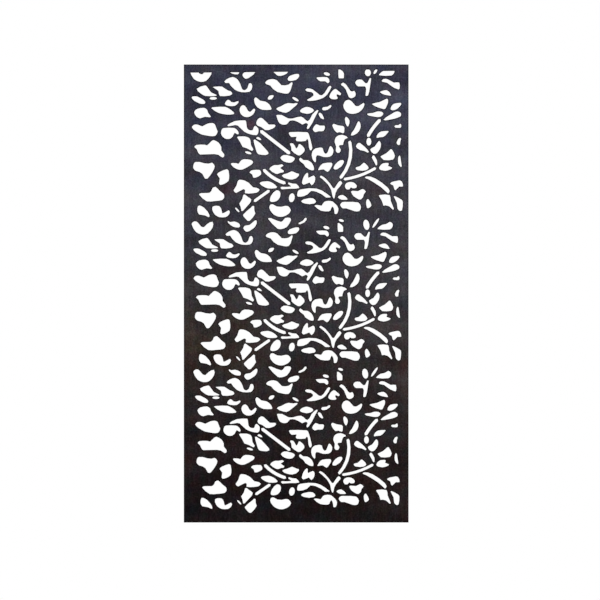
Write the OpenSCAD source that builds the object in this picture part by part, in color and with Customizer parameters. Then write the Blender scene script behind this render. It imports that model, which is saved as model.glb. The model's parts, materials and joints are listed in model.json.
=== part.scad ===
// Laser cut metal screen: a flat steel sheet with a pattern of leaves and twigs cut through it,
// carried at the back by a frame of square tube and fixed to posts with angle cleats.
// Front faces -Y, +Z is up, X runs across the screen. The origin is the middle of the lowest edge.

/* [Sheet] */
// Width of the sheet
sheet_w = 1175; // [1000:5:1500]
// Height of the sheet
sheet_h = 2395; // [2000:5:2800]
// Thickness of the sheet
sheet_t = 3; // [1.5:0.5:6]

/* [Pattern] */
// Solid strip left between the pattern and each side of the sheet
side_border = 30; // [30:1:80]
// Solid strip left above the pattern
head_border = 38; // [32:1:80]
// Solid strip left below the pattern's lowest repeat
foot_border = 27; // [27:1:80]
// How often the pattern repeats up the sheet
repeats = 3; // [2:1:4]
// Share by which the pattern narrows from head to foot
pattern_taper = 0.05; // [0:0.005:0.1]
// Share by which the pattern is taller along its right side than along its left
pattern_fan = 0.008; // [0:0.002:0.016]

/* [Frame] */
// Width across the frame's square tube
tube_w = 25; // [24:1:27]
// Wall of the square tube
tube_wall = 2; // [1.5:0.5:3]
// Radius inside the tube's corners
tube_bend = 1; // [0.5:0.5:1.5]
// Distance from the sheet's edge in to the tube
frame_inset = 1.5; // [1:0.5:2]
// Length of each leg of a corner key, inside the tubes
key_leg = 60; // [40:5:75]
// Gap all round a corner key in its tube
key_clearance = 0.25; // [0.1:0.05:0.4]
// Diameter of a rivet that holds a corner key
rivet_d = 4.8; // [4:0.2:6]
// Distance of a rivet from the end of the key's leg
rivet_place = 20; // [12:1:22]

/* [Studs] */
// Weld studs up each side of the sheet
side_studs = 8; // [6:2:12]
// Weld studs along the head and along the foot
rail_studs = 4; // [2:1:6]
// Distance from a corner of the sheet to its first stud
stud_end = 100; // [95:5:130]
// Thread size of a stud
stud_d = 6; // [4:1:8]
// Thread left past each nut
stud_spare = 2.5; // [1:0.5:5]
// Width of the weld collar round the root of a stud
collar_rim = 1; // [0.5:0.25:2]

/* [Cleats] */
// Height of an angle cleat
cleat_h = 60; // [50:5:100]
// Length of the cleat's leg across the back of the tube
cleat_leg = 25; // [23:1:26]
// Length of the cleat's leg beside the post
cleat_reach = 50; // [45:1:80]
// Thickness of the cleat
cleat_t = 4; // [3:0.5:5]
// Thread size of the bolt that holds a cleat
bolt_d = 8; // [6:1:8]
// Length of that bolt under its head
bolt_length = 20; // [16:1:20]
// Diameter of the hole for a post screw
post_hole_d = 9; // [6:0.5:12]
// Distance from the cleat's front face back to the post hole
post_hole_place = 30; // [22:1:34]

/* [Hidden] */
$fn = 32;

// Clearances between pieces that fit together
stud_clearance = 0.6;
rivet_clearance = 0.1;
thread_clearance = 0.1;
bolt_clearance = 1;
// How far a cut runs past the face it opens
overshoot = 1;

// Fasteners, in proportion to their thread
collar_d = stud_d + 2 * collar_rim;
collar_h = 0.8;
collar_gap = 1;
washer_d = 2 * stud_d;
washer_t = 1.6;
nut_flats = 5 / 3 * stud_d;
nut_h = 0.8 * stud_d;
rivet_head_d = 2 * rivet_d;
rivet_head_h = 0.3 * rivet_d;
rivet_grip = 12;
rivet_nut_d = bolt_d + 3;
rivet_nut_flange_d = bolt_d + 6;
rivet_nut_flange_t = 1;
rivet_nut_length = 16;
bolt_washer_d = 2 * bolt_d;
bolt_washer_t = 1.6;
bolt_flats = 13 / 8 * bolt_d;
bolt_head_h = 0.65 * bolt_d;
cleat_root_r = 1;

// Depths, from the front face backwards
depth = sheet_t + tube_w + rivet_nut_flange_t + cleat_reach;
front = -depth / 2;
sheet_back = front + sheet_t;
tube_mid = sheet_back + tube_w / 2;
tube_back = sheet_back + tube_w;
cleat_front = tube_back + rivet_nut_flange_t;

// Places on the sheet
tube_line = frame_inset + tube_w / 2;
side_pitch = (sheet_h - 2 * stud_end) / (side_studs - 1);
rail_pitch = (sheet_w - 2 * stud_end) / (rail_studs - 1);

// The pattern is drawn on a tile of this size, with y from its foot and this x at its middle
tile_w = 1120;
tile_h = 780;
tile_middle = -1.5;

// Leaves, crescents and chips: points clockwise round each edge, joined by a smooth curve
outlines = [
    // crescents and forked leaves along the head of the tile
    [[-549, 788], [-535, 802], [-518, 799], [-499, 776], [-484, 772], [-467, 788], [-438, 800], [-438, 770],
        [-465, 738], [-495, 733], [-527, 747]],
    [[-358, 804], [-347, 798], [-325, 801], [-300, 791], [-294, 777], [-302, 769], [-330, 773], [-357, 793]],
    [[-278, 765], [-269, 779], [-245, 783], [-217, 806], [-208, 805], [-208, 788], [-221, 767], [-245, 751],
        [-263, 747]],
    [[-149, 815], [-133, 818], [-105, 806], [-80, 798], [-72, 803], [-60, 818], [-34, 819], [-28, 807],
        [-50, 771], [-80, 760], [-100, 763]],
    [[-46, 746], [-35, 760], [-12, 768], [11, 769], [14, 756], [-2, 739], [-20, 735], [-41, 735]],
    [[214, 790], [222, 791], [236, 781], [243, 770], [243, 748], [239, 745], [218, 745], [215, 750]],
    [[421, 759], [430, 772], [443, 781], [466, 786], [484, 797], [499, 787], [499, 771], [485, 757]],
    [[10, 786], [12, 793], [33, 804], [44, 818], [53, 817], [53, 808], [42, 795], [20, 785]],
    [[-371, 734], [-355, 748], [-327, 757], [-303, 745], [-288, 720], [-280, 697], [-267, 690], [-253, 700],
        [-245, 722], [-234, 725], [-227, 712], [-230, 695], [-243, 681], [-285, 680], [-317, 692],
        [-336, 710], [-347, 727], [-363, 726]],
    [[-161, 727], [-148, 740], [-122, 745], [-100, 738], [-77, 714], [-42, 716], [-24, 729], [-20, 720],
        [-30, 688], [-42, 672], [-62, 671], [-98, 679], [-120, 694], [-135, 712], [-155, 719]],
    [[102, 748], [113, 752], [156, 752], [168, 740], [169, 729], [160, 721], [147, 731], [122, 731]],
    [[45, 689], [56, 697], [82, 692], [105, 675], [118, 664], [131, 662], [143, 672], [163, 703],
        [174, 709], [179, 701], [158, 665], [137, 648], [100, 636], [62, 633], [54, 640], [75, 651],
        [87, 661], [86, 670], [78, 677], [57, 680]],
    [[168, 654], [180, 679], [198, 693], [213, 684], [229, 669], [223, 660], [208, 666], [206, 658],
        [212, 648], [206, 641], [180, 642]],
    [[227, 714], [239, 724], [257, 711], [275, 684], [284, 679], [296, 683], [304, 665], [299, 653],
        [282, 645], [268, 651], [260, 670], [252, 690], [240, 704]],
    [[300, 722], [310, 737], [335, 738], [352, 721], [363, 722], [374, 745], [382, 743], [376, 700],
        [367, 659], [353, 658], [356, 690], [350, 704], [315, 704]],
    [[435, 731], [445, 741], [464, 740], [481, 731], [498, 722], [525, 722], [527, 691], [521, 687],
        [498, 696], [482, 707], [463, 721], [440, 726]],
    [[427, 674], [438, 681], [461, 685], [477, 673], [485, 659], [480, 656], [452, 661]],
    [[-514, 699], [-470, 716], [-463, 713], [-440, 681], [-411, 667], [-413, 662], [-470, 662], [-495, 676]],
    [[-430, 706], [-420, 709], [-383, 709], [-353, 690], [-338, 685], [-330, 672], [-345, 663],
        [-370, 660], [-393, 661], [-400, 672], [-402, 687]],
    [[-541, 654], [-534, 661], [-510, 660], [-482, 645], [-470, 632], [-475, 622], [-500, 624], [-526, 637]],
    [[-148, 643], [-140, 661], [-119, 664], [-117, 658], [-129, 643]],
    [[-370, 621], [-354, 643], [-346, 641], [-335, 631], [-322, 629], [-301, 636], [-298, 628],
        [-318, 611], [-350, 611]],
    [[-219, 640], [-213, 653], [-205, 652], [-187, 637], [-160, 632], [-139, 617], [-128, 595],
        [-132, 590], [-175, 590], [-200, 602], [-214, 620]],
    [[-105, 594], [-82, 607], [-60, 619], [-43, 624], [-15, 621], [6, 623], [-3, 610], [-38, 581],
        [-54, 574], [-72, 577]],
    [[131, 594], [139, 602], [160, 604], [172, 612], [180, 609], [177, 600], [160, 588], [138, 585]],
    [[240, 611], [250, 632], [268, 638], [284, 629], [303, 607], [320, 607], [343, 622], [349, 614],
        [340, 592], [318, 573], [288, 566], [260, 573], [244, 592]],
    [[387, 614], [398, 620], [427, 626], [461, 642], [469, 637], [468, 618], [457, 593], [447, 589],
        [417, 598]],
    [[483, 586], [485, 602], [498, 616], [532, 621], [537, 614], [522, 595], [502, 584]],

    // leaves, hooks and a twig in the upper half
    [[-529, 582], [-512, 598], [-477, 603], [-461, 593], [-455, 576], [-442, 559], [-448, 554],
        [-473, 557], [-498, 549], [-518, 559]],
    [[-440, 601], [-425, 606], [-367, 607], [-340, 593], [-321, 576], [-325, 569], [-358, 567], [-402, 576]],
    [[-294, 590], [-287, 609], [-272, 615], [-259, 604], [-250, 587], [-238, 581], [-220, 597],
        [-212, 591], [-222, 569], [-244, 555], [-267, 555], [-286, 568]],
    [[17, 583], [31, 597], [52, 604], [74, 599], [90, 586], [76, 573], [53, 568], [30, 573]],
    [[362, 567], [392, 571], [412, 578], [436, 577], [446, 566], [432, 551], [408, 550], [372, 557]],
    [[446, 536], [478, 560], [502, 574], [520, 578], [536, 568], [534, 553], [500, 540], [468, 534]],
    [[113, 568], [120, 574], [132, 566], [142, 546], [138, 540], [123, 548]],
    [[-104, 562], [-96, 565], [-76, 564], [-44, 547], [-20, 546], [5, 553], [24, 555], [37, 548],
        [49, 536], [58, 532], [68, 540], [80, 564], [106, 588], [113, 583], [98, 555], [83, 524],
        [67, 499], [57, 491], [53, 500], [59, 515], [48, 522], [30, 514], [12, 525], [-8, 534],
        [-35, 534], [-49, 517], [-68, 514], [-88, 522], [-99, 543]],
    [[248, 541], [256, 553], [272, 535], [272, 518], [266, 503], [259, 505], [252, 519]],
    [[279, 458], [295, 486], [309, 514], [318, 530], [327, 522], [330, 501], [322, 479], [305, 464]],
    [[-542, 504], [-529, 518], [-511, 518], [-487, 509], [-462, 522], [-436, 526], [-421, 519],
        [-414, 500], [-407, 482], [-420, 460], [-450, 459], [-488, 466], [-520, 483]],
    [[-357, 513], [-345, 523], [-318, 535], [-264, 538], [-259, 528], [-256, 503], [-247, 490],
        [-226, 488], [-219, 507], [-210, 509], [-196, 494], [-198, 471], [-208, 462], [-240, 467],
        [-270, 480], [-303, 511], [-315, 514], [-351, 508]],
    [[-208, 523], [-200, 543], [-185, 551], [-172, 545], [-142, 516], [-114, 516], [-108, 508],
        [-122, 495], [-145, 487], [-162, 488], [-182, 503], [-200, 510]],
    [[-391, 473], [-386, 493], [-376, 500], [-322, 500], [-306, 489], [-298, 473], [-304, 466],
        [-319, 475], [-330, 455], [-343, 445], [-365, 444], [-383, 456]],
    [[83, 490], [101, 516], [120, 509], [142, 509], [147, 501], [139, 481], [115, 480], [97, 475]],
    [[184, 509], [192, 518], [213, 510], [240, 506], [247, 496], [246, 475], [239, 469], [222, 475],
        [209, 472], [195, 485]],
    [[-307, 451], [-300, 457], [-268, 457], [-244, 449], [-238, 438], [-235, 412], [-223, 391],
        [-231, 382], [-256, 395], [-279, 403], [-292, 428]],
    [[-222, 438], [-213, 440], [-188, 423], [-165, 398], [-145, 366], [-197, 365], [-208, 381], [-217, 412]],
    [[-209, 448], [-198, 454], [-188, 448], [-182, 437], [-200, 441]],
    [[-40, 470], [-35, 477], [55, 476], [64, 466], [73, 437], [82, 398], [77, 384], [69, 385],
        [64, 398], [61, 430], [55, 442], [47, 431], [2, 430], [-4, 440], [0, 453], [-26, 451]],
    [[411, 446], [418, 465], [434, 477], [472, 480], [473, 475], [458, 457], [446, 449], [425, 447]],
    [[502, 503], [510, 509], [523, 509], [534, 516], [538, 500], [530, 494], [510, 495]],
    [[196, 425], [201, 447], [216, 459], [235, 462], [253, 456], [264, 446], [248, 438], [242, 421],
        [240, 410], [224, 409], [219, 403], [229, 386], [222, 371], [209, 371], [202, 382], [204, 402]],
    [[514, 422], [522, 438], [534, 445], [538, 439], [534, 425], [533, 411], [525, 407], [517, 412]],

    // blobs, leaves and chips in the lower half
    [[-530, 404], [-518, 415], [-476, 416], [-463, 412], [-440, 434], [-428, 439], [-402, 425],
        [-389, 403], [-389, 386], [-374, 366], [-376, 353], [-386, 350], [-405, 363], [-425, 367],
        [-500, 365], [-511, 377], [-517, 392]],
    [[-34, 419], [-17, 419], [-8, 407], [-1, 394], [7, 403], [12, 416], [22, 414], [40, 396],
        [42, 380], [22, 360], [8, 358], [-12, 370], [-26, 383], [-28, 403]],
    [[78, 357], [82, 379], [98, 394], [120, 398], [135, 395], [141, 376], [151, 366], [161, 375],
        [170, 400], [178, 405], [191, 385], [186, 361], [170, 350], [140, 349], [117, 357],
        [106, 358], [101, 349], [101, 328], [96, 322], [83, 338]],
    [[306, 402], [315, 418], [327, 420], [350, 402], [373, 376], [367, 370], [348, 379], [328, 383],
        [312, 393]],
    [[380, 388], [402, 401], [415, 419], [426, 430], [435, 413], [431, 390], [414, 367], [398, 364],
        [388, 371]],
    [[433, 352], [462, 367], [485, 388], [493, 384], [507, 354], [497, 334], [450, 332], [440, 341]],
    [[388, 345], [395, 357], [403, 353], [415, 332], [416, 307], [409, 306], [400, 324]],
    [[523, 342], [529, 355], [535, 350], [543, 301], [538, 296], [524, 314]],
    [[-84, 346], [-67, 361], [-50, 361], [-22, 353], [-8, 342], [-22, 324], [-40, 321], [-64, 327]],
    [[13, 337], [21, 347], [36, 335], [58, 334], [79, 320], [90, 298], [89, 282], [68, 285],
        [47, 298], [37, 314], [22, 325]],
    [[-341, 316], [-334, 322], [-312, 321], [-301, 317], [-288, 334], [-272, 341], [-236, 337],
        [-224, 326], [-234, 312], [-278, 288], [-300, 287], [-323, 297]],
    [[111, 284], [121, 303], [137, 317], [180, 321], [186, 311], [176, 290], [161, 273], [141, 286],
        [128, 285], [116, 282]],
    [[191, 293], [201, 313], [220, 330], [239, 334], [246, 324], [231, 300], [210, 286], [198, 285]],
    [[305, 290], [308, 297], [327, 302], [346, 320], [360, 311], [373, 293], [360, 281], [340, 278],
        [315, 281]],
    [[426, 290], [431, 304], [446, 316], [473, 318], [476, 312], [472, 303], [494, 294], [484, 284],
        [458, 277], [436, 281]],
    [[-533, 320], [-524, 328], [-503, 328], [-478, 321], [-456, 319], [-438, 324], [-424, 306],
        [-433, 281], [-461, 243], [-476, 242], [-490, 267], [-504, 276], [-524, 282], [-537, 297]],
    [[-141, 288], [-128, 304], [-115, 310], [-95, 310], [-77, 314], [-67, 306], [-84, 295],
        [-65, 281], [-69, 272], [-83, 270], [-98, 264], [-108, 265]],
    [[-244, 272], [-232, 284], [-192, 286], [-184, 276], [-184, 261], [-208, 247], [-225, 246],
        [-230, 262]],
    [[-413, 263], [-400, 276], [-362, 290], [-352, 282], [-349, 258], [-353, 230], [-375, 215],
        [-396, 209], [-403, 218], [-399, 243]],
    [[-77, 255], [-50, 267], [-25, 278], [-15, 275], [0, 268], [13, 265], [12, 254], [-2, 241],
        [-22, 235], [-47, 238]],
    [[28, 218], [37, 249], [54, 270], [61, 264], [62, 244], [88, 256], [97, 245], [95, 224],
        [79, 205], [67, 219], [38, 208]],
    [[353, 243], [364, 250], [382, 249], [408, 239], [441, 218], [471, 193], [482, 175], [475, 162],
        [466, 168], [437, 194], [402, 217], [371, 235]],
    [[120, 247], [128, 255], [152, 239], [174, 214], [190, 191], [198, 192], [212, 214], [226, 228],
        [237, 215], [212, 184], [203, 166], [198, 141], [192, 137], [186, 150], [180, 180],
        [161, 211], [137, 234]],
    [[-192, 217], [-175, 226], [-150, 228], [-124, 219], [-101, 199], [-107, 191], [-148, 190], [-172, 200]],
    [[-83, 195], [-75, 199], [-28, 200], [-44, 213], [-41, 221], [-20, 215], [-2, 214], [8, 205],
        [14, 191], [-30, 188], [-76, 185]],
    [[-327, 183], [-313, 204], [-305, 229], [-296, 236], [-270, 232], [-248, 220], [-226, 197],
        [-207, 194], [-191, 183], [-208, 168], [-230, 165], [-268, 166], [-267, 181], [-276, 187],
        [-312, 168], [-322, 172]],
    [[3, 155], [8, 177], [22, 185], [65, 191], [103, 189], [130, 180], [158, 162], [178, 146],
        [172, 142], [153, 142], [132, 158], [105, 171], [75, 176], [57, 158], [36, 149], [8, 147]],
    [[250, 202], [258, 216], [276, 222], [296, 219], [312, 204], [309, 191], [290, 189], [282, 194],
        [274, 184], [258, 184]],
    [[282, 171], [290, 177], [318, 175], [341, 186], [359, 173], [349, 159], [345, 143], [331, 131],
        [316, 135], [296, 148]],
    [[483, 213], [500, 223], [530, 229], [543, 224], [551, 198], [531, 197], [512, 178], [506, 182],
        [500, 202]],
    [[-139, 127], [-133, 152], [-120, 170], [-105, 181], [-90, 178], [-83, 164], [-87, 142],
        [-103, 125], [-127, 120]],
    [[214, 143], [226, 154], [240, 156], [256, 146], [266, 134], [260, 130], [236, 130]],
    [[24, 123], [38, 134], [65, 140], [88, 138], [102, 122], [92, 112], [68, 108], [42, 112]],

    // leaves and chips along the foot of the tile
    [[-508, 160], [-497, 168], [-455, 169], [-443, 180], [-438, 193], [-421, 200], [-400, 180],
        [-379, 163], [-376, 145], [-388, 131], [-425, 126], [-468, 125]],
    [[-277, 157], [-268, 160], [-252, 147], [-235, 134], [-243, 114], [-277, 77], [-287, 74],
        [-291, 95], [-298, 113], [-283, 136]],
    [[-279, 55], [-240, 90], [-229, 101], [-220, 99], [-219, 78], [-214, 61], [-243, 24], [-256, 24],
        [-270, 39]],
    [[-518, 76], [-514, 101], [-504, 104], [-482, 93], [-463, 72], [-453, 49], [-459, 43], [-478, 52],
        [-508, 57]],
    [[-440, 82], [-437, 98], [-427, 102], [-403, 101], [-392, 86], [-387, 64], [-376, 67], [-354, 79],
        [-347, 70], [-354, 54], [-370, 43], [-403, 43], [-427, 57]],
    [[-142, 92], [-136, 107], [-122, 109], [-103, 98], [-80, 96], [-58, 101], [-42, 98], [-29, 78],
        [-42, 58], [-68, 45], [-92, 44], [-118, 55], [-137, 77]],
    [[93, 100], [106, 105], [130, 101], [143, 120], [166, 126], [188, 122], [206, 106], [218, 86],
        [212, 60], [198, 58], [195, 80], [186, 96], [177, 76], [168, 71], [128, 74]],
    [[226, 104], [238, 119], [262, 120], [320, 117], [335, 94], [326, 72], [302, 71], [258, 86],
        [240, 86]],
    [[426, 150], [432, 155], [482, 154], [488, 125], [505, 84], [500, 78], [480, 96], [462, 101],
        [450, 99], [442, 124]],
    [[503, 146], [508, 149], [544, 130], [551, 118], [547, 76], [536, 72], [523, 84], [519, 114]],
    [[360, 117], [366, 133], [373, 133], [389, 102], [376, 88], [366, 88]],
];

// Pebbles: the lower end of the long axis, the upper end, then the width
pebbles = [
    [171, 763, 140, 772, 16],
    [246, 800, 220, 808, 13],
    [368, 755, 358, 808, 31],
    [395, 766, 428, 815, 13],
    [-448, 650, -410, 650, 14],
    [11, 633, -21, 652, 13],
    [373, 406, 372, 446, 25],
    [-233, 368, -266, 378, 12],
    [-29, 119, -20, 165, 30],
    [-298, 69, -319, 92, 9],
];

// Twigs: both ends, then the width and how far the middle bows to the left
twigs = [
    [-181, 481, -39, 371, 17, 0],
    [369, 457, 426, 533, 17, 3],
    [-167, 283, -63, 218, 17, -8],
    [-145, 177, -216, 127, 15, 0],
    [250, 236, 405, 290, 14, -8],
    [275, 424, 230, 245, 17, 22],
];

function at(points, i) = points[(i + len(points)) % len(points)];
function unit(v) = v / norm(v);
// Direction of the curve at a point, along the line between its two neighbours
function heading(points, i) = unit(at(points, i + 1) - at(points, i - 1));

// How full a curve swells between two points, where 1 is about a circle's arc
curve_fullness = 0.8;
// How far a straight piece of an edge may lie from the curve that it stands for
curve_error = 1;
// How far inside the drawn edge the beam runs
beam_inset = 0.5;

// The point at a share of the way along the curve from a to b, with these headings at its ends
function between(a, b, from, to, share) =
    let (left = 1 - share, reach = curve_fullness * norm(b - a))
    left * left * (1 + 2 * share) * a + share * share * (3 - 2 * share) * b
        + share * left * reach * (left * from - share * to);

// A point of an edge that runs clockwise, drawn in by the beam's inset
function inset(points, i) = let (along = heading(points, i)) at(points, i) + beam_inset * [along.y, -along.x];

// A closed smooth curve through those points, in as many straight pieces as it needs
function smooth(points) = [
    for (i = [0:len(points) - 1])
        let (a = inset(points, i), b = inset(points, i + 1))
        let (from = heading(points, i), to = heading(points, i + 1))
        let (swell = curve_fullness * norm(b - a) / 8 * norm(from - to))
        let (pieces = max(1, ceil(sqrt(swell / curve_error))))
        for (k = [0:pieces - 1]) between(a, b, from, to, k / pieces)
];

// An oval between two ends, with a point every 30 degrees
function pebble(p) =
    let (a = [p[0], p[1]], b = [p[2], p[3]], along = (b - a) / 2)
    let (across = unit([-along.y, along.x]) * p[4] / 2)
    [for (turn = [0:30:330]) (a + b) / 2 + along * cos(turn) + across * sin(turn)];

// A strip between two ends, bowed to one side, with blunt tips
function twig(t) =
    let (a = [t[0], t[1]], b = [t[2], t[3]], along = unit(b - a), left = [-along.y, along.x], half = t[4] / 2)
    let (spine = [for (s = [0:0.2:1]) a + s * (b - a) + 4 * s * (1 - s) * t[5] * left])
    concat([a - along * half], [for (p = spine) p + left * half],
        [b + along * half], [for (i = [len(spine) - 1:-1:0]) spine[i] - left * half]);

// A pebble that crosses the head line is cut short, to end a little past it
pebble_pass = 10;
function shortened(p) =
    let (top = tile_h + pebble_pass)
    p[1] > tile_h || p[3] < top ? p
        : let (share = (top - p[1]) / (p[3] - p[1])) [p[0], p[1], p[0] + share * (p[2] - p[0]), top, p[4]];

// One repeat of the pattern, or the highest one
function tile(highest) = concat(
    [for (o = outlines) smooth(o)],
    [for (p = pebbles) pebble(highest ? shortened(p) : p)],
    [for (t = twigs) twig(t)]
);

// Where a point of one repeat lies on the sheet. The drawing shrinks evenly towards the foot, and a
// little towards the left.
lean = pattern_taper / 2;
fan = pattern_fan / 2;
pattern_h = sheet_h - head_border - foot_border;
pattern_w = sheet_w - 2 * side_border;
function on_sheet(p, level) =
    let (side = 2 * (p.x - tile_middle) / tile_w, share = 2 * (p.y / tile_h + level) / repeats - 1)
    let (size = 1 / (1 - lean * share - fan * side))
    let (rise = (share * size + 1 / (1 + lean)) / (1 / (1 - lean) + 1 / (1 + lean)))
    [side * size * pattern_w / 2, foot_border + rise * pattern_h];

function lowest(points) = min([for (p = points) p.y]);
function highest(points) = max([for (p = points) p.y]);

// The highest row stops at a straight head line. A cut-out that barely passes it stays whole, and
// one that barely starts below it is left out.
least_pass = 14;
least_start = 2;

module cut_outs() {
    head_line = repeats * tile_h;
    below_head = [[-tile_w, 0], [tile_w, 0], [tile_w, head_line], [-tile_w, head_line]];
    for (level = [0:repeats - 1], shape = tile(level == repeats - 1)) {
        foot_line = level * tile_h;
        outline = [for (p = shape) on_sheet(p, level)];
        if (foot_line + highest(shape) < head_line + least_pass)
            polygon(outline);
        else if (foot_line + lowest(shape) < head_line - least_start)
            intersection() {
                polygon(outline);
                polygon([for (p = below_head) on_sheet(p, 0)]);
            }
    }
}

module laser_cut_sheet() {
    color("#2f2c33")
        translate([0, sheet_back, 0]) rotate([90, 0, 0]) linear_extrude(sheet_t)
            difference() {
                translate([-sheet_w / 2, 0]) square([sheet_w, sheet_h]);
                cut_outs();
            }
}

// The four tubes of the frame, each along +X with its inner side up, and where they are fixed
tube_bore = tube_w - 2 * tube_wall;
// From where the middle lines of two tubes meet to a rivet
rivet_reach = key_leg - rivet_place;
stile_length = sheet_h - 2 * frame_inset;
rail_length = sheet_w - 2 * frame_inset;
stile_x = sheet_w / 2 - tube_line;
side_studs_at = [for (i = [0:side_studs - 1]) (i - (side_studs - 1) / 2) * side_pitch];
rail_studs_at = [for (i = [0:rail_studs - 1]) (i - (rail_studs - 1) / 2) * rail_pitch];
cleats_at = [-1, 0, 1] * side_pitch * (side_studs / 2 - 1);

// A cylinder along Y, from one depth to another
module rod(d, from, to) {
    translate([0, from, 0]) rotate([-90, 0, 0]) cylinder(d = d, h = to - from);
}

module rounded_square(w, r) {
    square([w, w - 2 * r], center = true);
    square([w - 2 * r, w], center = true);
    for (x = [-1, 1], y = [-1, 1]) translate([x, y] * (w / 2 - r)) circle(r = r);
}

module tube(length, studs_at, nuts_at = []) {
    difference() {
        translate([-length / 2, 0, 0]) rotate([90, 0, 90]) linear_extrude(length)
            difference() {
                rounded_square(tube_w, tube_bend + tube_wall);
                rounded_square(tube_bore, tube_bend);
            }
        for (end = [-1, 1]) {
            // the mitre
            translate([end * length / 2, 0, -tube_w / 2]) rotate([0, -end * 45, 0])
                translate([end > 0 ? 0 : -2 * tube_w, -tube_w, -tube_w])
                    cube([2 * tube_w, 2 * tube_w, 4 * tube_w]);
            translate([end * (length / 2 - tube_w / 2 - rivet_reach), 0, 0])
                rod(rivet_d + 2 * rivet_clearance, tube_bore / 2 - overshoot, tube_w / 2 + overshoot);
        }
        for (x = studs_at) translate([x, 0, 0]) {
            rod(stud_d + 2 * stud_clearance, -tube_w / 2 - overshoot, tube_w / 2 + overshoot);
            rod(collar_d + 2 * collar_gap, -tube_w / 2 - overshoot, -tube_bore / 2 + overshoot);
        }
        for (x = nuts_at) translate([x, 0, 0])
            rod(rivet_nut_d + 2 * thread_clearance, tube_bore / 2 - overshoot, tube_w / 2 + overshoot);
    }
}

// Puts a tube drawn along X into its side of the frame
module at_side(x, turn) {
    translate([x, tube_mid, sheet_h / 2]) rotate([0, turn, 0]) children();
}

module left_stile() { color("#2b292d") at_side(-stile_x, 90) tube(stile_length, side_studs_at, cleats_at); }
module right_stile() { color("#2b292d") at_side(stile_x, -90) tube(stile_length, side_studs_at, cleats_at); }
module foot_rail() { color("#2b292d") translate([0, tube_mid, tube_line]) tube(rail_length, rail_studs_at); }
module head_rail() {
    color("#2b292d") translate([0, tube_mid, sheet_h - tube_line]) rotate([0, 180, 0])
        tube(rail_length, rail_studs_at);
}

// Copies what is drawn at the lower right corner's middle line, with its legs to -X and +Z
module at_corner(side, end) {
    translate([side * stile_x, 0, sheet_h / 2 + end * (sheet_h / 2 - tube_line)])
        mirror([side < 0 ? 1 : 0, 0, 0]) mirror([0, 0, end > 0 ? 1 : 0]) children();
}

// Where the rivets go through a key
rivet_spots = [[-rivet_reach, 0], [0, rivet_reach]];

// The section of a corner key: a square with its corners cut off to clear the bends of the tube
key_bar = tube_bore - 2 * key_clearance;
module key_section() {
    half = key_bar / 2;
    flat = half - tube_bend - key_clearance;
    polygon([[-flat, -half], [flat, -half], [half, -flat], [half, flat],
        [flat, half], [-flat, half], [-half, flat], [-half, -flat]]);
}

// One leg of a key, to -X from the corner, mitred there
module corner_key_leg() {
    half = key_bar / 2;
    intersection() {
        translate([-key_leg, -half, 0]) rotate([90, 0, 90]) linear_extrude(key_leg + half) key_section();
        rotate([90, 0, 0]) linear_extrude(key_bar)
            polygon([[-key_leg, -half], [half, -half], [-half, half], [-key_leg, half]]);
    }
}

// An elbow of bar, pulled by its rivets against the tubes' back walls
module corner_key(side, end) {
    color("#b9bcbd") at_corner(side, end) translate([0, tube_back - tube_wall, 0]) difference() {
        union() {
            corner_key_leg();
            mirror([1, 0, 1]) corner_key_leg();
        }
        for (spot = rivet_spots) translate([spot.x, 0, spot.y])
            rod(rivet_d + 2 * rivet_clearance, -rivet_grip, overshoot);
    }
}

module head_left_corner_key() { corner_key(-1, 1); }
module head_right_corner_key() { corner_key(1, 1); }
module foot_left_corner_key() { corner_key(-1, -1); }
module foot_right_corner_key() { corner_key(1, -1); }

// Domed blind rivets through the tubes' back walls into the keys
module corner_key_rivets() {
    color("#a9abad")
        for (side = [-1, 1], end = [-1, 1], spot = rivet_spots)
            at_corner(side, end) translate([spot.x, tube_back, spot.y]) rotate([-90, 0, 0])
                rotate_extrude() {
                    polygon([[0, 0], [rivet_head_d / 2, 0], [rivet_head_d / 2, rivet_head_h / 3],
                        [rivet_head_d / 3, rivet_head_h], [0, rivet_head_h]]);
                    translate([0, -rivet_grip]) square([rivet_d / 2, rivet_grip]);
                }
}

// Copies what is drawn at the origin to every stud
module at_studs() {
    for (side = [-1, 1]) {
        for (z = side_studs_at) translate([side * stile_x, 0, sheet_h / 2 + z]) children();
        for (x = rail_studs_at) translate([x, 0, sheet_h / 2 + side * (sheet_h / 2 - tube_line)]) children();
    }
}

module weld_studs() {
    length = tube_w + washer_t + nut_h + stud_spare;
    color("#8d8f90") at_studs() translate([0, sheet_back, 0]) rotate([-90, 0, 0]) {
        cylinder(d = stud_d, h = length);
        cylinder(d = collar_d, h = collar_h);
    }
}

module stud_washers() {
    color("#b4b6b5") at_studs() difference() {
        rod(washer_d, tube_back, tube_back + washer_t);
        rod(stud_d + 2 * thread_clearance, tube_back - overshoot, tube_back + washer_t + overshoot);
    }
}

// A hexagon along Y, measured across its flats
module hexagon(flats, from, to) {
    translate([0, from, 0]) rotate([-90, 0, 0]) cylinder(d = flats / cos(30), h = to - from, $fn = 6);
}

module stud_nuts() {
    seat = tube_back + washer_t;
    color("#b4b6b5") at_studs() difference() {
        hexagon(nut_flats, seat, seat + nut_h);
        rod(stud_d + 2 * thread_clearance, seat - overshoot, seat + nut_h + overshoot);
    }
}

// Copies what is drawn at the origin to the middle of every cleat
module at_cleats() {
    for (side = [-1, 1], z = cleats_at) translate([side * stile_x, 0, sheet_h / 2 + z]) children();
}

module rivet_nuts() {
    tip = tube_back - rivet_nut_length;
    color("#c2b27a") at_cleats() difference() {
        union() {
            rod(rivet_nut_d, tip, tube_back);
            rod(rivet_nut_flange_d, tube_back, cleat_front);
        }
        rod(bolt_d + 2 * thread_clearance, tip - overshoot, cleat_front + overshoot);
    }
}

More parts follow.
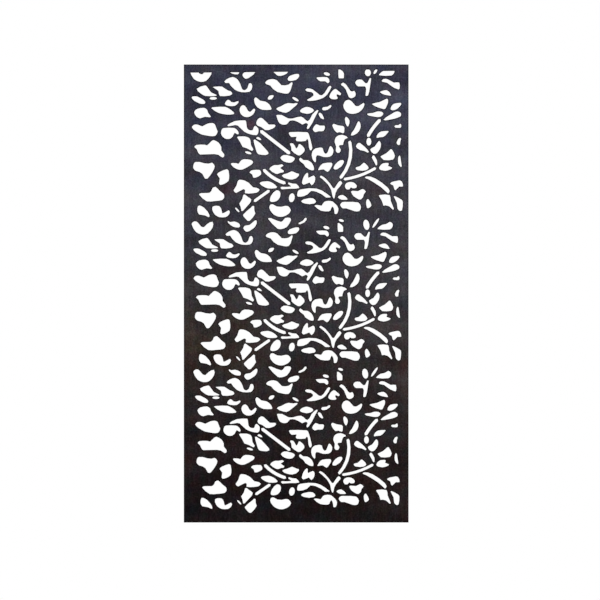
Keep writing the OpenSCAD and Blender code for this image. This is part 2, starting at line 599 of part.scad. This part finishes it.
// An angle with one leg behind the stile and the other beside the post, flush with the sheet's edge
module cleat(side, z) {
    root = cleat_t + cleat_root_r;
    color("#2b292d") translate([side * sheet_w / 2, cleat_front, sheet_h / 2 + z])
        mirror([side > 0 ? 1 : 0, 0, 0]) difference() {
            translate([0, 0, -cleat_h / 2]) linear_extrude(cleat_h)
                difference() {
                    union() {
                        square([cleat_leg, cleat_t]);
                        square([cleat_t, cleat_reach]);
                        square([root, root]);
                    }
                    translate([root, root]) circle(r = cleat_root_r);
                }
            translate([tube_line, 0, 0]) rod(bolt_d + bolt_clearance, -overshoot, cleat_t + overshoot);
            translate([-overshoot, post_hole_place, 0]) rotate([0, 90, 0])
                cylinder(d = post_hole_d, h = cleat_t + 2 * overshoot);
        }
}

module left_upper_cleat() { cleat(-1, cleats_at[2]); }
module left_middle_cleat() { cleat(-1, cleats_at[1]); }
module left_lower_cleat() { cleat(-1, cleats_at[0]); }
module right_upper_cleat() { cleat(1, cleats_at[2]); }
module right_middle_cleat() { cleat(1, cleats_at[1]); }
module right_lower_cleat() { cleat(1, cleats_at[0]); }

module cleat_washers() {
    seat = cleat_front + cleat_t;
    color("#b4b6b5") at_cleats() difference() {
        rod(bolt_washer_d, seat, seat + bolt_washer_t);
        rod(bolt_d + 2 * thread_clearance, seat - overshoot, seat + bolt_washer_t + overshoot);
    }
}

module cleat_bolts() {
    seat = cleat_front + cleat_t + bolt_washer_t;
    color("#b4b6b5") at_cleats() {
        hexagon(bolt_flats, seat, seat + bolt_head_h);
        rod(bolt_d, seat - bolt_length, seat);
    }
}

laser_cut_sheet();
left_stile();
right_stile();
head_rail();
foot_rail();
head_left_corner_key();
head_right_corner_key();
foot_left_corner_key();
foot_right_corner_key();
corner_key_rivets();
weld_studs();
stud_washers();
stud_nuts();
rivet_nuts();
cleat_bolts();
cleat_washers();
left_upper_cleat();
left_middle_cleat();
left_lower_cleat();
right_upper_cleat();
right_middle_cleat();
right_lower_cleat();
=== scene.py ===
"""Looks of the laser cut metal screen. Metres; +Z up, the front faces -Y.

The CAD nodes keep their shapes and get their finishes here. Four nodes of fasteners are replaced by the same pieces
with threads, chamfers and domes. Floor, light and camera come last.
"""

import json
import math

import bpy
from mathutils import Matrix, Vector


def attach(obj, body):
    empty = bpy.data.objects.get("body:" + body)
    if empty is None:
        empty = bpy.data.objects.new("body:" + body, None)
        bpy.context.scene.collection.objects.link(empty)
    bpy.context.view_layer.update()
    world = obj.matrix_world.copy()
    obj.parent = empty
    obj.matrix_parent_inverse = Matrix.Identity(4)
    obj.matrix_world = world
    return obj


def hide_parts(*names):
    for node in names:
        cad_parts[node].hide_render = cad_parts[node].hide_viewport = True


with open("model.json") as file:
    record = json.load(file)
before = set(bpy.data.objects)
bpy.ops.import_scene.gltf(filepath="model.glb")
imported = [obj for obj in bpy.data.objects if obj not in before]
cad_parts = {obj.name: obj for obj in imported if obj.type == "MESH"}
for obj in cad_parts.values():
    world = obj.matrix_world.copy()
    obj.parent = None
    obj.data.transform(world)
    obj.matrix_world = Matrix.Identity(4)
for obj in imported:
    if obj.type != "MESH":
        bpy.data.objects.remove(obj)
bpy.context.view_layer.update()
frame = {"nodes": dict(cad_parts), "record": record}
nodes = frame["nodes"]

SHEET_W, SHEET_H = 1.175, 2.395
MIDDLE = Vector((0, 0, SHEET_H / 2))

# ---------------------------------------------------------------- colours

# Colours are written as they look on the screen, where each channel goes from 0 to this level
LEVELS = 255
# The screen's curve is a power with an offset, and a straight line up to a level near black
SCREEN_OFFSET, SCREEN_POWER = 0.055, 2.4
NEAR_BLACK, NEAR_BLACK_SLOPE = 10, 12.92


def as_light(level):
    """The linear light of one channel."""
    share = level / LEVELS
    if level <= NEAR_BLACK:
        return share / NEAR_BLACK_SLOPE
    return ((share + SCREEN_OFFSET) / (1 + SCREEN_OFFSET)) ** SCREEN_POWER


def rgb(*colour):
    """A screen colour as the linear light that the shader takes."""
    return tuple(as_light(level) for level in colour) + (1.0,)


def grey(share):
    """A grey that is written as linear light."""
    return (share, share, share, 1.0)


# ---------------------------------------------------------------- node trees

# Nearly all of a noise lies in this range, and this is its standard deviation
NOISE_RANGE = (0.3, 0.7)
NOISE_SPREAD = 0.1
# Mix nodes have a set of sockets for each kind of data: these are the share, the two colours and the mixed colour
MIX_SHARE, MIX_A, MIX_B, MIX_OUT = 0, 6, 7, 2
BEVEL_SAMPLES = 8
BUMP_STRENGTH = 0.5


class Tree:
    """Short names for the nodes that a material or the world is made of."""

    def __init__(self, owner):
        owner.use_nodes = True
        self.owner = owner
        self.tree = owner.node_tree

    def node(self, kind, **values):
        """A new node of a kind, with its settings."""
        made = self.tree.nodes.new("ShaderNode" + kind)
        for name, value in values.items():
            setattr(made, name, value)
        return made

    def feed(self, socket, value):
        """Links a socket to a socket, or sets it to a value."""
        if isinstance(value, bpy.types.NodeSocket):
            self.tree.links.new(value, socket)
        else:
            socket.default_value = value

    def math(self, operation, a, b):
        """Maths on two numbers."""
        made = self.node("Math", operation=operation)
        self.feed(made.inputs[0], a)
        self.feed(made.inputs[1], b)
        return made.outputs["Value"]

    def either_shader(self, share, first, second):
        """The first shader where share is 0, and the second where it is 1."""
        made = self.node("MixShader")
        for socket, value in zip(made.inputs, (share, first, second)):
            self.feed(socket, value)
        return made.outputs["Shader"]

    def white_for_sight(self):
        """1 for the rays that look at something or mirror it, which see plain white, and 0 for what lights."""
        rays = self.node("LightPath").outputs
        seen = self.math("MAXIMUM", rays["Is Camera Ray"], rays["Is Glossy Ray"])
        return self.math("MAXIMUM", seen, rays["Is Transmission Ray"])


class Finish(Tree):
    """The nodes of one material, in object space, round its Principled shader."""

    def __init__(self, name):
        super().__init__(bpy.data.materials.new(name))
        self.shader = self.tree.nodes["Principled BSDF"]
        self.place = self.node("TexCoord").outputs["Object"]

    def noise(self, cells, detail=3.0, roughness=0.5, stretch=(1, 1, 1), shift=0.0):
        """Noise from 0 to 1, with so many cells to the metre."""
        mapping = self.node("Mapping")
        self.feed(mapping.inputs["Vector"], self.place)
        self.feed(mapping.inputs["Scale"], stretch)
        self.feed(mapping.inputs["Location"], (shift, shift, shift))
        made = self.node("TexNoise")
        self.feed(made.inputs["Vector"], mapping.outputs["Vector"])
        self.feed(made.inputs["Scale"], cells)
        self.feed(made.inputs["Detail"], detail)
        self.feed(made.inputs["Roughness"], roughness)
        return made.outputs["Fac"]

    def span(self, value, low, high, to_low=0.0, to_high=1.0):
        """value from low..high to to_low..to_high, kept between them."""
        made = self.node("MapRange")
        names = ("Value", "From Min", "From Max", "To Min", "To Max")
        for name, number in zip(names, (value, low, high, to_low, to_high)):
            self.feed(made.inputs[name], number)
        return made.outputs["Result"]

    def spread(self, noise, low, high):
        """Noise spread over low..high."""
        return self.span(noise, *NOISE_RANGE, low, high)

    def ramp(self, value, stops):
        """A colour for each value, between stops that are a value and its colour."""
        made = self.node("ValToRGB")
        elements = made.color_ramp.elements
        while len(elements) < len(stops):
            elements.new(0.5)
        for element, (at, colour) in zip(elements, stops):
            element.position = at
            element.color = colour
        self.feed(made.inputs["Fac"], value)
        return made.outputs["Color"]

    def mix(self, share, a, b):
        """Colour a where share is 0, and b where it is 1."""
        made = self.node("Mix", data_type="RGBA")
        self.feed(made.inputs[MIX_SHARE], share)
        self.feed(made.inputs[MIX_A], a)
        self.feed(made.inputs[MIX_B], b)
        return made.outputs[MIX_OUT]

    def vector(self, operation, *values, output="Vector"):
        """Vector maths, where a plain number stands for all three components."""
        made = self.node("VectorMath", operation=operation)
        for socket, value in zip(made.inputs, values):
            self.feed(socket, (value,) * 3 if isinstance(value, (int, float)) else value)
        return made.outputs[output]

    def light_of(self, tone):
        """A screen colour that varies over the surface, from 0 to 1, as linear light."""
        curve = self.vector("MAXIMUM", tone, 0.0)
        curve = self.vector("MULTIPLY_ADD", curve, 1 / (1 + SCREEN_OFFSET), SCREEN_OFFSET / (1 + SCREEN_OFFSET))
        made = self.node("Gamma")
        self.feed(made.inputs["Color"], curve)
        self.feed(made.inputs["Gamma"], SCREEN_POWER)
        return made.outputs["Color"]

    def rounded(self, radius):
        """The normal with sharp edges rounded to that radius."""
        made = self.node("Bevel", samples=BEVEL_SAMPLES)
        self.feed(made.inputs["Radius"], radius)
        return made.outputs["Normal"]

    def bump(self, height, depth, edge=0.0003):
        """Relief of that depth, on edges rounded to that radius."""
        made = self.node("Bump")
        self.feed(made.inputs["Strength"], BUMP_STRENGTH)
        self.feed(made.inputs["Distance"], depth)
        self.feed(made.inputs["Height"], height)
        self.feed(made.inputs["Normal"], self.rounded(edge))
        return made.outputs["Normal"]

    def near_edge(self, reach, full, most):
        """0 further than reach from a sharp edge, and most where the rounded normal leans by a cosine of full."""
        flat = self.node("NewGeometry").outputs["Normal"]
        cosine = self.vector("DOT_PRODUCT", self.rounded(reach), flat, output="Value")
        return self.span(cosine, 1.0, full, 0.0, most)

    def surface(self, **values):
        """Sets the shader's sockets: colour, metallic, roughness and so on."""
        for name, value in values.items():
            self.feed(self.shader.inputs[name.replace("_", " ")], value)
        return self.owner


# ---------------------------------------------------------------- the sheet's coat

# Its tones from the foot to the head, in screen levels, and the share of the height where each lies. The brown-black
# at the foot is the coat's own tone; the lighter slate towards the head is painted reflection of cool light from
# above
SHEET_TONES_AND_SHEEN = (
    (0.0, (26, 19, 20)),
    (0.3, (42, 35, 35)),
    (0.5, (52, 49, 52)),
    (0.72, (58, 56, 63)),
    (0.9, (56, 56, 69)),
)
# The borders between the tones waver by this share of the height
WAVER = 0.03
# Painted light: the right side is this much lighter than the left, in screen levels
RIGHT_SIDE_PAINTED_LIGHT = 9
# Stains: middle in X and Z, reach in X and Z, and the change in red, green and blue, in screen levels
STAINS = (
    # rusty ones among the leaves of the upper and the middle repeat
    ((-0.236, 2.08), (0.025, 0.025), (4, -10, -10)),
    ((-0.357, 1.74), (0.06, 0.04), (0, -9, -8)),
    ((0.39, 1.75), (0.09, 0.05), (3, -2, -5)),
    ((-0.37, 1.32), (0.11, 0.05), (-3, -8, -9)),
    # paler brown ones along the left and the right border
    ((-0.57, 0.96), (0.06, 0.33), (10, 7, 4)),
    ((-0.57, 0.3), (0.05, 0.07), (7, 4, 3)),
    ((0.57, 0.75), (0.05, 0.15), (9, 7, 5)),
    # two broad and faint ones, left of the middle and towards the foot
    ((-0.35, 0.95), (0.3, 0.22), (4, 1, -4)),
    ((0.3, 0.2), (0.3, 0.2), (1, 0, -2)),
)
# A stain's share at so many reaches from its middle: full, then none; and how far its outline strays, in reaches
STAIN_FULL, STAIN_NONE = 0.4, 1.2
STAIN_RAGGED = 0.35
# Mottling: its strength at the foot and at the head, cells to the metre, stretch, shift, and what one standard
# deviation of it adds to red, green and blue, in screen levels
MOTTLING = (
    # grain, streaks down the sheet and broad clouds, all without a cast
    (1.0, 1.0, 130.0, (1, 1, 1), 7.0, (7.0, 7.0, 7.0)),
    (0.9, 1.0, 90.0, (1, 1, 0.12), 3.0, (3.3, 3.3, 3.3)),
    (0.85, 1.15, 8.0, (0.45, 1, 1), 11.0, (4.8, 4.8, 4.8)),
    # warm and cool clouds, red and teal ones, and smaller green and purple ones
    (0.85, 1.2, 13.0, (1, 1, 1), 5.0, (1.3, 0.2, -1.6)),
    (1.35, 0.2, 17.0, (1, 1, 1), 14.0, (1.8, -0.8, -1.0)),
    (1.25, 1.15, 26.0, (1, 1, 1), 9.0, (0.9, -1.2, 0.5)),
)
# Shares of the height up to which the strength is the foot's, and from which it is the head's
FOOT_ENDS, HEAD_BEGINS = 0.25, 0.65
# A dark band is painted along the rim of every cut: near_edge's reach, full and most
RIM_REACH, RIM_FULL, RIM_SHARE = 0.009, 0.97, 0.9
RIM_COLOUR = (3, 2, 2)


def stained(t, tone, middle, reach, change):
    """tone changed in a ragged oval round a place on the sheet."""
    per_reach = (1 / reach[0], 0, 1 / reach[1])
    start = (-middle[0] / reach[0], 0, -middle[1] / reach[1])
    away = t.vector("LENGTH", t.vector("MULTIPLY_ADD", t.place, per_reach, start), output="Value")
    ragged = t.spread(t.noise(22.0, roughness=0.6), -STAIN_RAGGED, STAIN_RAGGED)
    share = t.span(t.math("ADD", away, ragged), STAIN_NONE, STAIN_FULL)
    return t.vector("MULTIPLY_ADD", share, tuple(c / LEVELS for c in change), tone)


def mottled(t, tone, strength, cells, stretch, shift, change):
    """tone with noise added to it."""
    swing = tuple(c / LEVELS / NOISE_SPREAD for c in change)
    noise = t.noise(cells, roughness=0.6, stretch=stretch, shift=shift)
    off = t.vector("MULTIPLY_ADD", noise, swing, tuple(-c / 2 for c in swing))
    return t.vector("MULTIPLY_ADD", off, strength, tone)


def sheet_coat():
    """The sheet's dark coat: brown-black at the foot, lightened to slate towards the head by painted reflection, with
    a painted dark band along every cut; mottled, streaked and stained.
    """
    t = Finish("sheet_finish")
    apart = t.node("SeparateXYZ")
    t.feed(apart.inputs["Vector"], t.place)
    x, _, z = apart.outputs
    waver = t.spread(t.noise(2.2, detail=2.0), -WAVER, WAVER)
    height = t.math("ADD", t.math("DIVIDE", z, SHEET_H), waver)
    # painted reflection: the tones lighten to a cool slate towards the head
    tone = t.ramp(height, [(at, (*(level / LEVELS for level in colour), 1.0)) for at, colour in SHEET_TONES_AND_SHEEN])
    # painted light: the right side lighter than the left
    side = RIGHT_SIDE_PAINTED_LIGHT / LEVELS / 2
    tone = t.vector("ADD", tone, t.span(x, -SHEET_W / 2, SHEET_W / 2, -side, side))
    for stain in STAINS:
        tone = stained(t, tone, *stain)
    for at_foot, at_head, *kind in MOTTLING:
        strength = t.span(height, FOOT_ENDS, HEAD_BEGINS, at_foot, at_head)
        tone = mottled(t, tone, strength, *kind)
    # painted dark band along the rim of every cut
    rim = t.near_edge(RIM_REACH, RIM_FULL, RIM_SHARE)
    return t.surface(
        Base_Color=t.mix(rim, t.light_of(tone), rgb(*RIM_COLOUR)),
        Roughness=t.spread(t.noise(6.0, detail=4.0, roughness=0.6, shift=2.0), 0.52, 0.66),
        Specular_IOR_Level=0.04,
        Normal=t.bump(t.noise(900.0, detail=2.0), depth=0.00006),
    )


# ---------------------------------------------------------------- the other finishes

COAT_DARK, COAT_LIGHT, COAT_WORN = rgb(38, 36, 38), rgb(46, 44, 47), rgb(104, 101, 99)
# The coat is rubbed along its edges: near_edge's reach, full and most, in the spots where a noise is in this range
# or above it
WORN_REACH, WORN_FULL, WORN_SHARE = 0.0015, 0.8, 0.5
WORN_SPOTS = (0.5, 0.66)
# How many times finer a metal's clouds of gloss and of relief are than those of its colour
GLOSS_FINER, RELIEF_FINER = 1.7, 6
# Bare and plated metals: their darkest and lightest colour, their least and most roughness, the cells of their clouds
# to the metre, and the stretch of those
METALS = {
    "key_metal": (rgb(176, 178, 180), rgb(205, 207, 208), 0.35, 0.5, 80.0, (0.1, 1, 1)),
    "rivet_metal": (rgb(170, 172, 174), rgb(205, 206, 207), 0.28, 0.42, 300.0),
    "stud_steel": (rgb(150, 128, 112), rgb(186, 170, 156), 0.3, 0.45, 400.0),
    "zinc_plate": (rgb(168, 174, 180), rgb(208, 211, 212), 0.24, 0.4, 220.0),
    "yellow_zinc": (rgb(178, 152, 84), rgb(214, 198, 140), 0.26, 0.4, 180.0),
}


def frame_coat():
    """Satin powder coat of the frame and the cleats, with its orange peel and rubbed edges."""
    t = Finish("frame_finish")
    clouds = t.noise(5.0, detail=4.0, roughness=0.6, shift=1.0)
    tone = t.ramp(clouds, [(0.35, COAT_DARK), (0.65, COAT_LIGHT)])
    spots = t.span(t.noise(60.0, detail=4.0, roughness=0.7), *WORN_SPOTS)
    worn = t.math("MULTIPLY", t.near_edge(WORN_REACH, WORN_FULL, WORN_SHARE), spots)
    return t.surface(
        Base_Color=t.mix(worn, tone, COAT_WORN),
        Roughness=t.spread(t.noise(14.0, detail=4.0, roughness=0.6, shift=4.0), 0.36, 0.5),
        Specular_IOR_Level=0.3,
        Normal=t.bump(t.noise(450.0, detail=2.0), depth=0.00012, edge=0.0006),
    )


def bare_metal(name, dark, light, smooth, rough, cells, stretch=(1, 1, 1)):
    """A plated or bare metal: cloudy in its colour and, in smaller clouds, in its gloss and relief."""
    t = Finish(name)
    clouds = t.noise(cells, detail=4.0, roughness=0.65, stretch=stretch)
    gloss = t.noise(cells * GLOSS_FINER, roughness=0.6, stretch=stretch, shift=6.0)
    relief = t.noise(cells * RELIEF_FINER, detail=2.0, roughness=0.6, stretch=stretch)
    return t.surface(
        Base_Color=t.ramp(clouds, list(zip(NOISE_RANGE, (dark, light)))),
        Metallic=1.0,
        Roughness=t.spread(gloss, smooth, rough),
        Normal=t.bump(relief, depth=0.00003),
    )


FINISHES = {"sheet_finish": sheet_coat(), "frame_finish": frame_coat()}
for name, kind in METALS.items():
    FINISHES[name] = bare_metal(name, *kind)
SLOT_OF = {part["node"]: part["material_slot"] for part in frame["record"]["subparts"]}


def finish(piece, slot):
    """Gives a piece the finish of one of the record's material slots."""
    piece.data.materials.clear()
    piece.data.materials.append(FINISHES[slot])


for name, node in nodes.items():
    finish(node, SLOT_OF[name])

# ---------------------------------------------------------------- fasteners

# Digits to which a CAD mesh's coordinates are rounded to find the points that are one, and to put solids in order
POINT_DIGITS, ORDER_DIGITS = 6, 4
# Edges that turn by more than this stay sharp
SHARP_EDGE = math.radians(20)


def show(name, points, faces):
    """A mesh object in the scene."""
    mesh = bpy.data.meshes.new(name)
    mesh.from_pydata(points, [], faces)
    made = bpy.data.objects.new(name, mesh)
    bpy.context.scene.collection.objects.link(made)
    return made


def boxes_of(node):
    """The lowest and highest corner of each separate solid in a CAD node."""
    mesh = nodes[node].data
    home = {}
    parent = list(range(len(mesh.vertices)))

    def root(i):
        while parent[i] != i:
            parent[i] = parent[parent[i]]
            i = parent[i]
        return i

    for v in mesh.vertices:
        spot = tuple(round(c, POINT_DIGITS) for c in v.co)
        parent[root(v.index)] = root(home.setdefault(spot, v.index))
    for edge in mesh.edges:
        parent[root(edge.vertices[0])] = root(edge.vertices[1])
    solids = {}
    for v in mesh.vertices:
        solids.setdefault(root(v.index), []).append(v.co)
    boxes = [(Vector(map(min, zip(*solid))), Vector(map(max, zip(*solid)))) for solid in solids.values()]
    return sorted(boxes, key=lambda box: (round(box[0].x, ORDER_DIGITS), round(box[0].z, ORDER_DIGITS)))


def add_rings(points, faces, middle, rings, turns):
    """Adds one solid: rings about the +Y axis through middle, each joined to the next.

    A ring gives (radius, y) at an angle. Rings that end on the one they start from close on themselves, and others
    are capped.
    """
    bored = rings[0] is rings[-1]
    if bored:
        rings = rings[:-1]
    count, start = len(rings), len(points)
    for ring in rings:
        for k in range(turns):
            angle = 2 * math.pi * k / turns
            radius, y = ring(angle)
            points.append((middle.x + radius * math.cos(angle), y, middle.z + radius * math.sin(angle)))

    def corner(r, k):
        return start + r % count * turns + k % turns

    for r in range(count if bored else count - 1):
        for k in range(turns):
            faces.append((corner(r, k), corner(r + 1, k), corner(r + 1, k + 1), corner(r, k + 1)))
    if not bored:
        faces.append(tuple(corner(0, k) for k in range(turns)))
        faces.append(tuple(corner(-1, -k) for k in range(turns)))


def turned(name, node, rings_for, turns=48):
    """Replaces each solid of a node by turned rings that fill its box."""
    points, faces = [], []
    for low, high in boxes_of(node):
        add_rings(points, faces, (low + high) / 2, rings_for(low, high), turns)
    piece = show(name, points, faces)
    piece.data.validate()
    piece.data.shade_smooth()
    piece.data.set_sharp_from_angle(angle=SHARP_EDGE)
    finish(piece, SLOT_OF[node])
    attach(piece, "root")
    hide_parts(node)


def circle(radius, y):
    """A round and level ring."""
    return lambda angle: (radius, y)


# The round land on a hexagon's end, as a share of its inscribed circle, and the slope at which its corners are cut
LAND = 0.94
CHAMFER = math.tan(math.radians(30))


def hexagon_rings(flats, bottom, top, both_ends):
    """The sides of a hexagon with its corners turned off, from bottom to top."""
    half = flats / 2
    land = LAND * half

    def across(angle):
        return half / math.cos((angle % (math.pi / 3)) - math.pi / 6)

    def turned_off(angle):
        return (across(angle) - land) * CHAMFER

    sides = [
        lambda angle: (across(angle), bottom + (turned_off(angle) if both_ends else 0)),
        lambda angle: (across(angle), top - turned_off(angle)),
    ]
    return ([circle(land, bottom)] if both_ends else []) + sides + [circle(land, top)]


def nut_rings(low, high):
    """A hexagon nut, chamfered at both ends, with a lead-in at both ends of its bore."""
    bore, lead_in = 0.0031, 0.0006
    mouth = circle(bore, high.y - lead_in)
    return (
        [mouth, circle(bore, low.y + lead_in), circle(bore + lead_in, low.y)]
        + hexagon_rings(high.z - low.z, low.y, high.y, both_ends=True)
        + [circle(bore + lead_in, high.y), mouth]
    )


def bolt_rings(low, high):
    """A hexagon-headed bolt: blunt tip, shank, head and the shallow dish on top of it."""
    shank, tip, head_h = 0.004, 0.0008, 0.0052
    # the dish's rim and floor, as shares of the width across flats, and its depth
    dish_rim, dish_floor, dish = 0.36, 0.3, 0.0003
    seat, flats = high.y - head_h, high.z - low.z
    return (
        [circle(shank - tip, low.y), circle(shank, low.y + tip), circle(shank, seat), circle(LAND * flats / 2, seat)]
        + hexagon_rings(flats, seat, high.y, both_ends=False)
        + [circle(dish_rim * flats, high.y), circle(dish_floor * flats, high.y - dish)]
    )


def rivet_rings(low, high):
    """A blind rivet as set: a dome with the broken mandrel sunk in its middle."""
    radius, shank, head_h = (high.x - low.x) / 2, 0.0024, 0.00144
    # the mandrel's hole, its depth, and the broken end in it, as a share of the hole and as a depth
    mandrel, sunk, stub, stub_sunk = 0.0013, 0.0007, 0.3, 0.0004
    # the upright edge under the dome, and the dome's rings in degrees from that edge
    upright, dome_from, dome_to, dome_step = 0.0002, 0, 75, 12
    seat = high.y - head_h
    dome = [
        circle(radius * math.cos(a), seat + upright + (head_h - upright) * math.sin(a))
        for a in (math.radians(degrees) for degrees in range(dome_from, dome_to, dome_step))
    ]
    return (
        [circle(shank, low.y), circle(shank, seat), circle(radius, seat)]
        + dome
        + [circle(mandrel, high.y), circle(mandrel, high.y - sunk), circle(stub * mandrel, high.y - stub_sunk)]
    )


def stud_rings(low, high):
    """A weld stud: collar on the sheet, plain shank, and the thread that stands past the nut."""
    collar, collar_h = (high.x - low.x) / 2, 0.0008
    # the thread's radii at crest and root, its pitch and length
    crest, thread_root, pitch, length = 0.003, 0.00255, 0.001, 0.012
    # the length over which it fades at the tip, and how many rings make one pitch
    fade, rings_a_pitch = 0.0006, 8
    start = high.y - length
    steps = round(length / pitch * rings_a_pitch)

    def thread(y):
        blunt = min(1.0, max(0.0, (high.y - y) / fade))

        def ring(angle):
            phase = (y / pitch - angle / (2 * math.pi)) % 1
            depth = 1 - abs(2 * phase - 1)
            return (crest - (crest - thread_root) * max(depth, 1 - blunt), y)

        return ring

    return [circle(collar, low.y), circle(collar, low.y + collar_h), circle(crest, low.y + collar_h)] + [
        thread(start + length * k / steps) for k in range(steps + 1)
    ]


turned("stud_nuts_turned", "stud_nuts", nut_rings)
turned("cleat_bolts_turned", "cleat_bolts", bolt_rings)
turned("corner_key_rivets_domed", "corner_key_rivets", rivet_rings, turns=32)
turned("weld_studs_threaded", "weld_studs", stud_rings, turns=24)

# ---------------------------------------------------------------- floor, world, light

SKY_COLOUR, SKY_STRENGTH = (0.93, 0.96, 1.0, 1.0), 0.55
FLOOR_REACH, FLOOR_RINGS, FLOOR_TURNS = 30.0, 12, 64
FLOOR_DARK, FLOOR_LIGHT = 0.86, 0.89
# The floor is its own colour up to the first distance from the middle of the screen's foot, and from the second on it
# looks plain white
FADE_FROM, FADE_TO = 1.6, 4.5
LAMP_SIZE = 3.0
# Soft boxes: name, place, power and colour
LAMPS = (
    ("key", (-2.6, -4.6, 4.2), 115, (1.0, 1.0, 1.0)),
    ("fill", (3.4, -4.2, 2.2), 65, (0.97, 0.98, 1.0)),
    ("back_key", (2.6, 4.6, 4.2), 115, (1.0, 1.0, 1.0)),
    ("back_fill", (-3.4, 4.2, 2.2), 65, (1.0, 0.98, 0.96)),
)


def add_world():
    """Soft light from all round, which looks plain white."""
    world = bpy.data.worlds.new("studio")
    bpy.context.scene.world = world
    t = Tree(world)
    t.tree.nodes.clear()

    def background(colour, strength):
        made = t.node("Background")
        t.feed(made.inputs["Color"], colour)
        t.feed(made.inputs["Strength"], strength)
        return made.outputs["Background"]

    lit, seen = background(SKY_COLOUR, SKY_STRENGTH), background(grey(1.0), 1.0)
    out = t.node("OutputWorld")
    t.feed(out.inputs["Surface"], t.either_shader(t.white_for_sight(), lit, seen))


def add_floor():
    """A pale studio floor that takes the shadow near the screen and runs out into white."""
    points = [(0, 0, 0)]
    for r in range(1, FLOOR_RINGS + 1):
        radius = FLOOR_REACH * (r / FLOOR_RINGS) ** 2
        for k in range(FLOOR_TURNS):
            angle = 2 * math.pi * k / FLOOR_TURNS
            points.append((radius * math.cos(angle), radius * math.sin(angle), 0))
    faces = [(0, 1 + k, 1 + (k + 1) % FLOOR_TURNS) for k in range(FLOOR_TURNS)]
    for r in range(FLOOR_RINGS - 1):
        for k in range(FLOOR_TURNS):
            a, b = 1 + r * FLOOR_TURNS + k, 1 + r * FLOOR_TURNS + (k + 1) % FLOOR_TURNS
            faces.append((a, a + FLOOR_TURNS, b + FLOOR_TURNS, b))
    floor = show("floor", points, faces)
    t = Finish("floor_paint")
    tone = t.ramp(t.noise(40.0), list(zip(NOISE_RANGE, (grey(FLOOR_DARK), grey(FLOOR_LIGHT)))))
    t.surface(Base_Color=tone, Roughness=0.8, Specular_IOR_Level=0.1)
    white = t.node("Emission").outputs["Emission"]
    away = t.vector("LENGTH", t.place, output="Value")
    share = t.math("MULTIPLY", t.span(away, FADE_FROM, FADE_TO), t.white_for_sight())
    paint = t.either_shader(share, t.shader.outputs["BSDF"], white)
    t.feed(t.tree.nodes["Material Output"].inputs["Surface"], paint)
    floor.data.materials.append(t.owner)


def add_lamp(name, place, power, colour):
    """A square soft box that looks at the middle of the screen."""
    data = bpy.data.lights.new(name, "AREA")
    data.size = LAMP_SIZE
    data.energy = power
    data.color = colour
    lamp = bpy.data.objects.new(name, data)
    lamp.location = place
    lamp.rotation_euler = (MIDDLE - Vector(place)).to_track_quat("-Z", "Y").to_euler()
    bpy.context.scene.collection.objects.link(lamp)


def add_camera():
    """Square on to the front and level, as the photograph is: it shows no convergence."""
    # the picture's width, and the panel's width and middle in it, in the photograph's pixels
    picture_w, panel_w = 600, 224.7
    panel_x, panel_y = 296.2, 293.5
    pixel = SHEET_W / panel_w
    away = 6.0
    data = bpy.data.cameras.new("camera")
    data.type = "ORTHO"
    data.ortho_scale = picture_w * pixel
    camera = bpy.data.objects.new("camera", data)
    camera.location = ((picture_w / 2 - panel_x) * pixel, -away, SHEET_H / 2 - (picture_w / 2 - panel_y) * pixel)
    camera.rotation_euler = (math.radians(90), 0, 0)
    bpy.context.scene.collection.objects.link(camera)
    bpy.context.scene.camera = camera


add_world()
add_floor()
for lamp in LAMPS:
    add_lamp(*lamp)
add_camera()
bpy.context.scene.view_settings.view_transform = "Standard"
